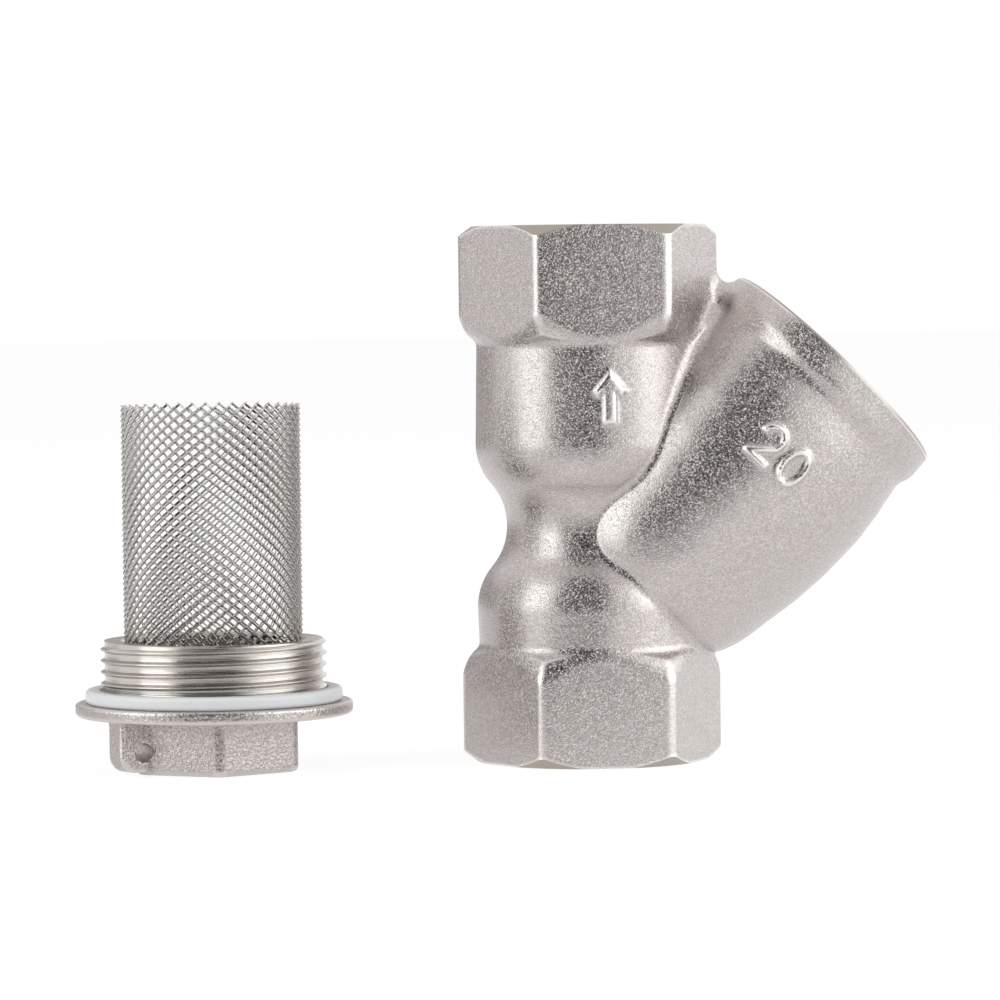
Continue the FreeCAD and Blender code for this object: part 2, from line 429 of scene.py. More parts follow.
@dataclass(frozen=True)
class Thread:
    """A right-handed screw thread, in millimetres.

    Crest and root each take up their share of the pitch. The root's middle is deeper than its
    edges by root depth, as a share of the whole depth. Sides are the columns of faces in one turn.
    """

    major_radius: float
    minor_radius: float
    pitch: float
    crest_share: float = 0.16
    root_share: float = 0.22
    root_depth: float = 0.07
    sides: int = 120

    def rod(self, low: float, high: float, fade_low: float, fade_high: float) -> Shell:
        """A closed threaded rod about the Z axis.

        Args:
            low: Height of the rod's lower end.
            high: Height of its upper end.
            fade_low: Length over which the thread rises from the root at the lower end.
            fade_high: The same at the upper end.

        Returns:
            The rod's shell, with its rows of faces laid along the helix.
        """
        flank = (1 - self.crest_share - self.root_share) / 2
        phases = [share * self.crest_share for share in (0.0, 0.5, 1.0)]
        phases += [self.crest_share + flank * share for share in (0.25, 0.5, 0.75, 1.0)]
        phases += [self.crest_share + flank + self.root_share * share for share in (0.5, 1.0)]
        phases += [1 - flank + flank * share for share in (0.25, 0.5, 0.75)]
        root = self.crest_share + flank
        marks = [0, self.crest_share, root, root + self.root_share / 2, 1 - flank, 1]
        hollow = 1 - self.root_depth
        depth = np.interp(phases, marks, [0, 0, hollow, 1, hollow, 0])
        per_turn = len(phases)
        spare, early = 1.4, 0.3
        turns = math.floor((high - low) / self.pitch - spare)
        foot = low + (high - low - (turns + 1) * self.pitch) / 2
        last = turns * per_turn
        points: list[Corner] = []
        columns: list[list[int]] = []
        for side in range(self.sides):
            angle = 2 * math.pi * side / self.sides
            rows = last + 1 + (per_turn if side == 0 else 0)
            columns.append(list(range(len(points), len(points) + rows)))
            for row in range(rows):
                turn, step = divmod(row, per_turn)
                height = foot + self.pitch * (side / self.sides + turn + phases[step])
                rise = 1.0
                if fade_low > 0:
                    rise *= min(1.0, max(0.0, (height - foot) / fade_low))
                if fade_high > 0:
                    rise *= min(1.0, max(0.0, (high - height) / fade_high - early))
                crest = self.minor_radius + (self.major_radius - self.minor_radius) * rise
                radius = crest - (crest - self.minor_radius) * depth[step]
                points.append((radius * math.cos(angle), radius * math.sin(angle), height))
        rings = []
        for height in (low, high):
            rings.append(list(range(len(points), len(points) + self.sides)))
            for side in range(self.sides):
                angle = 2 * math.pi * side / self.sides
                across, deep = math.cos(angle), math.sin(angle)
                points.append((self.minor_radius * across, self.minor_radius * deep, height))
        faces: list[Sequence[int]] = []
        for side in range(self.sides):
            here = columns[side]
            wraps = side == self.sides - 1
            there = columns[0][per_turn:] if wraps else columns[side + 1]
            after = (side + 1) % self.sides
            for row in range(last):
                faces.append((here[row], there[row], there[row + 1], here[row + 1]))
            jump = columns[0][: per_turn + 1] if wraps else [there[0]]
            faces.append([rings[0][side], rings[0][after], *jump, here[0]])
            jump = here[last:][::-1] if side == 0 else [here[last]]
            faces.append([there[last], rings[1][after], rings[1][side], *jump])
        faces.append(rings[0][::-1])
        faces.append(rings[1])
        return Shell(np.array(points), faces)


class Cut(IntEnum):
    """Which finish a face gets, as an index into its piece's materials."""

    SKIN = 0
    MACHINED = 1
    EDGE = 2


class Work(Enum):
    """What a tool does to its target."""

    JOIN = "UNION"
    CUT = "DIFFERENCE"


def linked(name: str, data: bpy.types.ID) -> bpy.types.Object:
    """Makes an object of a mesh, camera or lamp and links it to the scene.

    Args:
        name: The object's name.
        data: What it shows or does.

    Returns:
        The object.
    """
    made = bpy.data.objects.new(name, data)
    bpy.context.scene.collection.objects.link(made)
    return made


def piece(
    name: str, shell: Shell, cut: Cut = Cut.SKIN, place: Matrix | None = None
) -> bpy.types.Object:
    """Makes an object of a shell.

    Args:
        name: The object's name.
        shell: Its shape in millimetres.
        cut: Index of the finish on all its faces.
        place: Placement in millimetres, or none where it is drawn in place.

    Returns:
        The object, linked to the scene, with its points in metres.
    """
    points = shell.points
    if place is not None:
        turn = np.array(place)
        points = points @ turn[:3, :3].T + turn[:3, 3]
    mesh = bpy.data.meshes.new(name)
    mesh.from_pydata(points * MM, [], shell.faces)
    mesh.validate()
    mesh.polygons.foreach_set("material_index", np.full(len(mesh.polygons), int(cut), np.int32))
    made = linked(name, mesh)
    for _ in Cut:
        mesh.materials.append(None)
    return made


def combine(target: bpy.types.Object, tool: bpy.types.Object, work: Work) -> None:
    """Joins a tool to the target or cuts with it, and removes the tool.

    Args:
        target: The piece that changes.
        tool: The closed solid that changes it.
        work: Whether it joins or cuts.
    """
    modifier = target.modifiers.new("combine", "BOOLEAN")
    modifier.operation, modifier.object = work.value, tool
    modifier.solver = "MANIFOLD"
    result = evaluated_mesh(target)
    if len(result.vertices) in (0, len(target.data.vertices)):
        LOG.warning("the quick solver failed on %s with %s", target.name, tool.name)
        modifier.solver = "EXACT"
        result = evaluated_mesh(target)
    target.modifiers.remove(modifier)
    old, target.data = target.data, result
    bpy.data.meshes.remove(old)
    bpy.data.objects.remove(tool)


def evaluated_mesh(target: bpy.types.Object) -> bpy.types.Mesh:
    """Applies the target's modifiers.

    Args:
        target: The piece.

    Returns:
        A new mesh.
    """
    bpy.context.view_layer.update()
    graph = bpy.context.evaluated_depsgraph_get()
    return bpy.data.meshes.new_from_object(target.evaluated_get(graph))


def vertex_rows(mesh: bpy.types.Mesh, what: str) -> np.ndarray:
    """Reads a vector of each vertex.

    Args:
        mesh: The mesh.
        what: The vector's name, co or normal.

    Returns:
        The vectors, one row each.
    """
    values = np.empty(len(mesh.vertices) * 3)
    mesh.vertices.foreach_get(what, values)
    return values.reshape(-1, 3)


def lathe_marks(target: bpy.types.Object, axes: Sequence[tuple[Matrix, float]]) -> None:
    """Stores where each point lies on the lathe axis it was turned about.

    Args:
        target: The piece.
        axes: Placement of each lathe axis in millimetres, and the radius up to which it rules.
    """
    points = vertex_rows(target.data, "co") / MM
    marks = np.zeros((len(points), 3))
    for place, reach in axes:
        back = np.array(place.inverted())
        local = points @ back[:3, :3].T + back[:3, 3]
        near = np.hypot(local[:, 0], local[:, 1]) < reach
        marks[near] = local[near]
    layer = target.data.attributes.new("lathe", "FLOAT_VECTOR", "POINT")
    layer.data.foreach_set("vector", marks.astype(np.float32).ravel())


def wear_marks(target: bpy.types.Object, low: float = 0.2, high: float = 0.5) -> None:
    """Stores where the surface sticks out, so that its finish can show the wear along edges.

    Args:
        target: The piece.
        low: Mean bend, in radians per millimetre, at which wear starts to show.
        high: Bend at which it shows in full.
    """
    mesh = target.data
    places, normals = vertex_rows(mesh, "co") / MM, vertex_rows(mesh, "normal")
    ends = np.empty(len(mesh.edges) * 2, np.int32)
    mesh.edges.foreach_get("vertices", ends)
    start, end = ends.reshape(-1, 2).T
    gap = places[end] - places[start]
    square = np.maximum(row_products(gap, gap), 1e-3)
    ahead = -2 * row_products(normals[start], gap) / square
    behind = 2 * row_products(normals[end], gap) / square
    size = len(places)
    total = np.bincount(start, ahead, size) + np.bincount(end, behind, size)
    count = np.bincount(start, minlength=size) + np.bincount(end, minlength=size)
    count = np.maximum(count, 1)
    bend = total / count
    for _ in range(2):
        around = np.bincount(start, bend[end], size) + np.bincount(end, bend[start], size)
        bend = 0.4 * bend + 0.6 * around / count
    worn = np.clip((bend - low) / (high - low), 0, 1)
    layer = mesh.attributes.new("wear", "FLOAT", "POINT")
    layer.data.foreach_set("value", worn.astype(np.float32))


def shade(target: bpy.types.Object, angle: float) -> None:
    """Smooths the shading and keeps sharp edges sharp.

    Args:
        target: The piece.
        angle: Degrees between faces from which their edge is sharp.
    """
    mesh = target.data
    mesh.shade_smooth()
    mesh.set_sharp_from_angle(angle=math.radians(angle))


def linear(code: str) -> tuple[float, float, float, float]:
    """A colour written as #rrggbb in sRGB, turned to linear."""
    parts = [int(code[i : i + 2], 16) / 255 for i in (1, 3, 5)]
    return (*(p / 12.92 if p <= 0.04045 else ((p + 0.055) / 1.055) ** 2.4 for p in parts), 1.0)


class Nodes:
    """Adds nodes to the tree of one material or of the world."""

    def __init__(self, owner: bpy.types.Material | bpy.types.World) -> None:
        """Takes over the owner's tree and empties it.

        Args:
            owner: The material or world whose tree it is.
        """
        self.owner = owner
        owner.use_nodes = True
        self.tree = owner.node_tree
        self.tree.nodes.clear()

    def add(
        self, kind: str, inputs: dict[str | int, object] | None = None, **settings: object
    ) -> bpy.types.Node:
        """Adds one node.

        Args:
            kind: The node's type.
            inputs: Values, or output sockets to link, by the input's name or number.
            settings: The node's own properties.

        Returns:
            The node.
        """
        node = self.tree.nodes.new(kind)
        for key, value in settings.items():
            setattr(node, key, value)
        for key, value in (inputs or {}).items():
            if isinstance(value, bpy.types.NodeSocket):
                self.tree.links.new(value, node.inputs[key])
            else:
                node.inputs[key].default_value = value
        return node

    def seen(self) -> bpy.types.NodeSocket:
        """Tells what the camera sees from what only lights.

        Returns:
            A socket of one for what is seen directly, mirrored or through glass, else nought.
        """
        path = self.add("ShaderNodeLightPath").outputs
        seen = path["Is Camera Ray"]
        for kind in ("Is Glossy Ray", "Is Transmission Ray"):
            either = self.add("ShaderNodeMath", {0: seen, 1: path[kind]}, operation="MAXIMUM")
            seen = either.outputs[0]
        return seen

    def finish(self, surface: bpy.types.NodeSocket) -> bpy.types.Material:
        """Links the surface and returns the material."""
        self.add("ShaderNodeOutputMaterial", {"Surface": surface})
        return self.owner


Relief = tuple[bpy.types.NodeSocket, float, float | bpy.types.NodeSocket]


@dataclass(frozen=True)
class Finish:
    """One real material with the process that left its surface, with lengths in millimetres.

    Grain is the size of a pit's cell and pit share how much of it the pit slopes over. The deep
    colour is found in pits and the worn one on edges. Ripple is the size of a slow swell, and
    turning the pitch of tool rings. Each has the height of its relief.
    """

    name: str
    colour: str
    roughness: float
    metallic: float = 1.0
    colour_deep: str = ""
    grain: float = 0.0
    grain_height: float = 0.0
    pit_share: float = 0.4
    colour_worn: str = ""
    ripple: float = 0.0
    ripple_height: float = 0.0
    turning: float = 0.0
    turning_height: float = 0.0

    def build(self) -> bpy.types.Material:
        """Builds the material, with its grain and marks at their real sizes.

        Returns:
            The material.
        """
        nodes = Nodes(bpy.data.materials.new(self.name))
        shader = {"Base Color": linear(self.colour), "Metallic": self.metallic,
                  "Roughness": self.roughness}
        place = nodes.add("ShaderNodeTexCoord").outputs["Object"]
        reliefs: list[Relief] = []
        if self.ripple:
            swell = {"Vector": place, "Scale": 1 / (self.ripple * MM), "Detail": 1.0}
            swell = nodes.add("ShaderNodeTexNoise", swell).outputs["Fac"]
            reliefs.append((swell, self.ripple_height, 1.0))
        if self.grain:
            reliefs.append(self.blasted(nodes, shader, place))
        if self.turning:
            reliefs.append((self.turned(nodes), self.turning_height, 1.0))
        for height, rise, strength in reliefs:
            bump = {"Height": height, "Distance": rise * MM, "Strength": strength}
            if "Normal" in shader:
                bump["Normal"] = shader["Normal"]
            shader["Normal"] = nodes.add("ShaderNodeBump", bump).outputs["Normal"]
        return nodes.finish(nodes.add("ShaderNodeBsdfPrincipled", shader).outputs["BSDF"])

    def blasted(
        self, nodes: Nodes, shader: dict[str, object], place: bpy.types.NodeSocket
    ) -> Relief:
        """Colours the pits that the shot left, and the edges that wear smooth.

        Args:
            nodes: The material's nodes.
            shader: The shader's inputs, whose colour changes.
            place: Where on the object the surface lies.

        Returns:
            The relief of the pits, shallower where the surface is worn.
        """
        cells = {"Vector": place, "Scale": 1 / (self.grain * MM), "Randomness": 1.0}
        cells = nodes.add("ShaderNodeTexVoronoi", cells).outputs
        lot = nodes.add("ShaderNodeSeparateColor", {"Color": cells["Color"]}).outputs["Red"]
        pits = {"Value": cells["Distance"], "From Max": self.pit_share, "To Max": self.pit_share}
        pits = nodes.add("ShaderNodeMapRange", pits, interpolation_type="SMOOTHSTEP")
        few = nodes.add("ShaderNodeMath", {0: lot, 1: 2.0}, operation="POWER").outputs[0]
        pits = {0: pits.outputs["Result"], 1: few}
        pits = nodes.add("ShaderNodeMath", pits, operation="MULTIPLY").outputs[0]
        worn = nodes.add("ShaderNodeAttribute", attribute_name="wear").outputs["Fac"]
        left = {"Value": worn, "To Min": 1.0, "To Max": 0.25}
        left = nodes.add("ShaderNodeMapRange", left).outputs["Result"]
        mix = {"Factor": lot, 6: linear(self.colour_deep), 7: linear(self.colour)}
        colour = nodes.add("ShaderNodeMix", mix, data_type="RGBA").outputs[2]
        mix = {"Factor": worn, 6: colour, 7: linear(self.colour_worn)}
        shader["Base Color"] = nodes.add("ShaderNodeMix", mix, data_type="RGBA").outputs[2]
        return pits, self.grain_height, left

    def turned(self, nodes: Nodes) -> bpy.types.NodeSocket:
        """Draws the tool's rings, by the distance from the lathe's axis and the place along it.

        Args:
            nodes: The material's nodes.

        Returns:
            The height of the rings.
        """
        spot = nodes.add("ShaderNodeAttribute", attribute_name="lathe").outputs["Vector"]
        flat = nodes.add("ShaderNodeVectorMath", {0: spot, 1: (1, 1, 0)}, operation="MULTIPLY")
        flat = flat.outputs["Vector"]
        radius = nodes.add("ShaderNodeVectorMath", {0: flat}, operation="LENGTH").outputs["Value"]
        height = nodes.add("ShaderNodeSeparateXYZ", {"Vector": spot}).outputs["Z"]
        mark = nodes.add("ShaderNodeMath", {0: radius, 1: height}, operation="ADD").outputs[0]
        rings = {"W": mark, "Scale": 1 / self.turning, "Detail": 2.0}
        return nodes.add("ShaderNodeTexNoise", rings, noise_dimensions="1D").outputs["Fac"]


# Forged brass, shot-blasted and nickel-plated: a warm grey whose pits sparkle where the light
# changes. The pits are drawn a little coarser than fine shot leaves them, so that they show.
BLASTED = Finish(
    "blasted_nickel", "#d7cfcd", 0.27, colour_deep="#b4adab", colour_worn="#e6e2df",
    grain=0.15, grain_height=0.07, pit_share=0.7, ripple=1.6, ripple_height=0.02)
# The cap's forging, blasted with coarser shot, which leaves it duller and darker
COARSE = Finish(
    "coarse_blasted_nickel", "#c8bfbc", 0.34, colour_deep="#a8a09e", colour_worn="#cfc8c5",
    grain=0.2, grain_height=0.09, pit_share=0.7, ripple=0.45, ripple_height=0.12)
# Turned and nickel-plated brass: its fine tool rings smear what it mirrors into upright bands.
# Their pitch is that of a finishing cut, about a tenth of a millimetre.
MACHINED = Finish("turned_nickel", "#c8c2bd", 0.17, turning=0.09, turning_height=0.034)
# Ends faced on the lathe, where the thin plating lets a little of the warm brass through. The
# colour is also darkened on every faced end as painted shade, for the floor's shadow that the lower
# ends mirror
EDGE = Finish("faced_edge_nickel_and_shade", "#a89e95", 0.28, turning=0.12, turning_height=0.006)
# Skived sealing plastic: milky white, softly shining
SEAL = Finish("sealing_plastic", "#fafbfe", 0.38, metallic=0.0)
# Pressed and stretched stainless sheet: bright strands with drawn edges
SHEET = Finish("expanded_stainless", "#bab7b4", 0.15)


class SubAssembly:
    """A piece that stands for a plain CAD node: the body it rides on, the node, and its slot."""

    BODY: ClassVar[str]
    NODE: ClassVar[str]
    SLOT: ClassVar[str]

    def dress(
        self, made: bpy.types.Object, finishes: Sequence[bpy.types.Material]
    ) -> bpy.types.Object:
        """Gives the piece its finishes and hands it to its body in place of the plain node.

        Args:
            made: The piece.
            finishes: Its materials, in the order of Cut.

        Returns:
            The piece.
        """
        slots = made.data.materials
        while len(slots) > len(finishes):
            slots.pop()
        for index, finish in enumerate(finishes):
            slots[index] = finish
        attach(made, self.BODY)
        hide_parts(self.NODE)
        return made


@dataclass
class Housing(SubAssembly):
    """The forged Y-shaped body with its machined openings, in millimetres.

    Barrel gives the branch's outer radius by the distance along it. Crease and web are the
    fillets where the branch leaves the line, below and above, and crossing is the height at which
    their axes meet. The seat is what the screen's end stands on, port the line's threads and plug
    the cap's. Mark rise is how far the arrow and the number stand out.
    """

    BODY, NODE, SLOT = "housing", "housing", "blasted_nickel"
    length: float = 71.5
    flats: float = 30.6
    hex_edge: float = 1.6
    shoulder_angle: float = 39.5
    shoulder_round: float = 1.55
    shoulder_radius: float = 16.2
    lower_shoulder: float = 14.25
    upper_shoulder: float = 56.95
    chamber_radius: float = 15.35
    chamber_fillet: float = 1.4
    waist_radius: float = 11.2
    waist_heights: tuple[float, float, float] = (20.3, 31.5, 42.6)
    mouth: float = 46.9
    crease: float = 1.2
    web: float = 2.6
    voxel: float = 0.28
    mark_rise: float = 0.55
    crossing: float = 18.8
    mouth_radius: float = 17.3
    face_radius: float = 15.6
    face_slope: float = 37.0
    inlet_radius: float = 11.2
    outlet_radius: float = 11.6
    outlet_floor: float = 34.9
    seat: float = 9.2
    seat_depth: float = 2.8
    seat_radius: float = 12.0
    seat_opening: float = 10.3
    cavity_radius: float = 13.7
    port: Thread = Thread(13.2, 12.06, 1.814)
    plug: Thread = Thread(15.05, 14.5, 1.5, crest_share=0.3, root_share=0.36)
    barrel: tuple[Place, ...] = (
        (4.8, 8.5), (4.9, 10.4), (5.3, 11.9), (5.85, 12.85), (6.6, 13.6), (7.6, 14.2),
        (8.8, 14.75), (10.2, 15.25), (11.7, 15.68), (13.3, 16.05), (15.3, 16.4), (20.6, 17.3),
        (26.0, 17.95), (32.0, 18.15), (37.2, 17.85), (40.0, 17.35), (41.7, 17.05), (43.3, 17.8),
        (46.0, 17.6), (50.0, 17.55))
    run_table: SectionTable = field(init=False)
    branch_table: SectionTable = field(init=False)

    def __post_init__(self) -> None:
        """Fills the section tables of the line and of the branch."""
        low, middle, high = self.waist_heights
        inner, end = -30.0, self.chamber_radius - 0.35
        line = [(inner, 14.0, 0.0), (end, 14.0, 0.0)]
        line += ogee((self.chamber_radius, low), (self.waist_radius, middle))
        line += ogee((self.waist_radius, middle), (self.chamber_radius, high))
        line += [(end, 57.6, 0.0), (inner, 57.6, 0.0)]
        self.run_table = SectionTable(rounded(line, 0.3))
        # The barrel's points are resampled and smoothed, so that no corner is left between them
        places = np.array(self.barrel)
        path = np.concatenate([[0], np.cumsum(np.hypot(*np.diff(places, axis=0).T))])
        steps = np.arange(0, path[-1], 0.2)
        kernel = np.exp(-0.5 * (np.arange(-8, 9) / 2.7) ** 2)
        kernel /= kernel.sum()
        padded = [np.pad(np.interp(steps, path, places[:, i]), 8, mode="edge") for i in (1, 0)]
        side = np.stack([np.convolve(row, kernel, mode="valid") for row in padded], axis=-1)
        foot, top = (inner, side[0, 1]), (inner, side[-1, 1])
        self.branch_table = SectionTable(np.concatenate([[foot], side, [top]]))

    def branch(self) -> Matrix:
        """Placement of the branch: its axis along Z, from where it crosses the line's axis."""
        return Matrix.Translation((0, 0, self.crossing)) @ Matrix.Rotation(math.radians(45), 4, "Y")

    def hexagon(self, points: np.ndarray, shoulder: float, upward: int) -> np.ndarray:
        """Distance to one hexagon end, whose shoulder slopes in to the chamber.

        Args:
            points: The points, one row each.
            shoulder: Height of the shoulder's rim.
            upward: One where the shoulder faces up, minus one where it faces down.

        Returns:
            The distances, negative inside.
        """
        radius = np.hypot(points[:, 0], points[:, 1])
        bar = hexagon_distance(points[:, 0], points[:, 1], self.flats, self.hex_edge)
        slope = math.radians(self.shoulder_angle)
        cone = (points[:, 2] - shoulder) * upward * math.cos(slope)
        cone = cone + (radius - self.shoulder_radius) * math.sin(slope)
        ends = np.abs(points[:, 2] - self.length / 2) - self.length / 2 - 1
        # The rim is rounded less on the flats than at the corners
        corner = np.clip((radius - self.flats / 2) / 1.6, 0, 1)
        rounding = self.shoulder_round * (0.4 + 0.6 * corner)
        return np.maximum(round_meet(bar, cone, rounding), ends)

    def body(self, points: np.ndarray) -> np.ndarray:
        """Distance to the forging without its raised marks.

        Args:
            points: The points, one row each.

        Returns:
            The distances, negative inside.
        """
        x, y, z = points.T
        lean, tilt = math.sqrt(0.5), math.radians(self.shoulder_angle)
        along, aside = (x + z - self.crossing) * lean, (x - z + self.crossing) * lean
        run_radius, branch_radius = np.hypot(x, y) + 1e-6, np.hypot(aside, y) + 1e-6
        run, rise = self.run_table.sloped(run_radius, z)
        # The barrel's underside is fuller than its top
        belly = np.interp(along, (7, 9.3, 11, 13, 15, 21, 27, 33, 38),
                          (0.4, 0.8, 0.9, 0.9, 0.8, 0.8, 0.55, 0.35, 0))
        belly = belly * np.maximum(aside / branch_radius, 0) ** 2
        branch, lift = self.branch_table.sloped(branch_radius - belly, along)
        rise = rise * np.clip((z - 14) / 3, 0, 1) * np.clip((57 - z) / 3, 0, 1)
        out, spread = np.sqrt(1 - rise * rise), np.sqrt(1 - lift * lift)
        for shoulder, upward in ((self.lower_shoulder, 1), (self.upper_shoulder, -1)):
            cosine = out * math.sin(tilt) + rise * upward * math.cos(tilt)
            end = self.hexagon(points, shoulder, upward)
            run = rolled_union(run, end, cosine, self.chamber_fillet)
        cosine = out * x / run_radius * lean * (spread * aside / branch_radius + lift)
        cosine += out * y / run_radius * spread * y / branch_radius
        cosine = np.maximum(cosine + rise * lean * (lift - spread * aside / branch_radius), -0.3)
        fillet = np.interp(z, (44.0, 62.0), (self.crease, self.web))
        return rolled_union(run, branch, cosine, fillet)

    def arrow(self, x: np.ndarray, z: np.ndarray) -> np.ndarray:
        """Flat distance to the flow arrow, which points along the line.

        Args:
            x: Across the line.
            z: Along the line.

        Returns:
            The distances, negative inside the arrow.
        """
        half = [(0.0, 52.5), (2.35, 49.6), (1.65, 48.85), (1.0, 49.4), (1.0, 45.2)]
        corners = [(px, pz) for px, pz in half] + [(-px, pz) for px, pz in half[:0:-1]]
        return outline_distance(np.stack([x - 0.73, z], axis=-1), np.array(corners))

    def number(self, x: np.ndarray, z: np.ndarray) -> np.ndarray:
        """Flat distance to the nominal size, whose foot looks down the branch.

        Args:
            x: Across the line.
            z: Along the line.

        Returns:
            The distances, negative inside a stroke.
        """
        lean = math.sqrt(0.5)
        across, up = (x - z + 23.5) * lean, (x + z - 60.3) * lean
        turn = np.radians(np.linspace(170, -40, 12))
        two = [(1.5 + 1.5 * math.cos(a), 3.45 + 1.5 * math.sin(a)) for a in turn]
        two += [(0.0, 0.0), (3.1, 0.0)]
        ring = np.linspace(0, 2 * math.pi, 25)
        nought = [(6.25 + 1.5 * math.cos(a), 2.5 + 2.45 * math.sin(a)) for a in ring]
        half_stroke = 0.5
        strokes = [np.array(two), np.array(nought)]
        return stroke_distance(np.stack([across, up], axis=-1), strokes) - half_stroke

    def distance(self, points: np.ndarray) -> np.ndarray:
        """Distance to the whole forging, with the arrow and the number raised on its front.

        Args:
            points: The points, one row each.

        Returns:
            The distances, negative inside.
        """
        base = self.body(points)
        x, y, z = points.T
        arrow_box, number_box = (-4.0, 6.0, 42.0, 55.0), (14.0, 32.0, 30.0, 52.0)
        draft, scale = 0.9, 0.743
        for flat, (left, right, low, high) in ((self.arrow, arrow_box), (self.number, number_box)):
            near = (x > left) & (x < right) & (z > low) & (z < high)
            near &= (y < 0) & (np.abs(base) < 3)
            if not near.any():
                continue
            under, glyph = base[near], flat(x[near], z[near])
            flank = (glyph + draft * under - 0.1) * scale
            base[near] = round_union(under, round_meet(under - self.mark_rise, flank, 0.2), 0.25)
        return base

    def passage(self, radius: float, depth: float) -> np.ndarray:
        """Section of a port's countersink and of the chamber behind it.

        Args:
            radius: The chamber's radius.
            depth: How deep it is where its domed end starts.

        Returns:
            The closed outline.
        """
        dome = [(radius * math.cos(a), depth + radius * math.sin(a))
                for a in np.radians(np.arange(6, 90, 6))]
        sink = 0.6
        entry = [(0, -1), (14.22, -1), (13.0, sink), (radius, sink), (radius, depth)]
        return np.array([*entry, *dome, (0, depth + radius)])

    def tools(self) -> list[bpy.types.Object]:
        """Makes the solids that machine the forging: faces, chambers, bores and threads.

        Returns:
            The tools, in the order in which they cut.
        """
        line, branch = Matrix.Identity(4), self.branch()
        flip = Matrix.Translation((0, 0, self.length)) @ Matrix.Rotation(math.pi, 4, "Y")
        clear = 30
        rise = (clear - self.face_radius) * math.tan(math.radians(self.face_slope))
        facing = np.array([(0, -8), (clear, -8), (clear, rise), (self.face_radius, 0), (0, 0)])
        chamfer = 0.68
        rim = self.mouth_radius + chamfer
        mouth = np.array([(0, self.mouth), (self.mouth_radius, self.mouth),
                          (rim, self.mouth - chamfer), (rim, 54), (0, 54)])
        low = self.length - self.outlet_floor - self.outlet_radius
        step = self.seat + self.seat_depth
        cone = step + self.cavity_radius - self.seat_radius
        cavity = np.array([
            (0, 0.5), (self.seat_opening, 0.5), (self.seat_opening, self.seat),
            (self.seat_radius, self.seat), (self.seat_radius, step), (self.cavity_radius, cone),
            (self.cavity_radius, 45.4), (15.15, 46.0), (15.35, 48.0), (0, 48.0)])
        port = self.port.rod(-1.5, 14.2, fade_low=0, fade_high=2.0)
        plug = self.plug.rod(37.4, 48.2, fade_low=1.5, fade_high=0)
        made = [
            (turned_shell(facing, 180), line, Cut.EDGE),
            (turned_shell(facing, 180), flip, Cut.EDGE),
            (turned_shell(mouth, 180), branch, Cut.EDGE),
            (turned_shell(self.passage(self.inlet_radius, self.crossing)), line, Cut.MACHINED),
            (turned_shell(self.passage(self.outlet_radius, low)), flip, Cut.MACHINED),
            (turned_shell(cavity), branch, Cut.MACHINED),
            (port, line, Cut.MACHINED),
            (port, flip, Cut.MACHINED),
            (plug, branch, Cut.MACHINED),
        ]
        return [piece(f"tool_{index}", shell, cut, place)
                for index, (shell, place, cut) in enumerate(made)]

    def build(self) -> bpy.types.Object:
        """Builds the housing, machines it and marks what was turned and what is worn.

        Returns:
            The housing.
        """
        pitch = self.voxel * 1
        forging = field_shell(self.distance, (-19, -20, -2), (49.5, 20, 74), pitch)
        made = piece("housing_forging", forging)
        for tool in self.tools():
            combine(made, tool, Work.CUT)
        shade(made, SHARP)
        lathe_marks(made, [(Matrix.Identity(4), 16.5), (self.branch(), 17.0)])
        wear_marks(made)
        return made


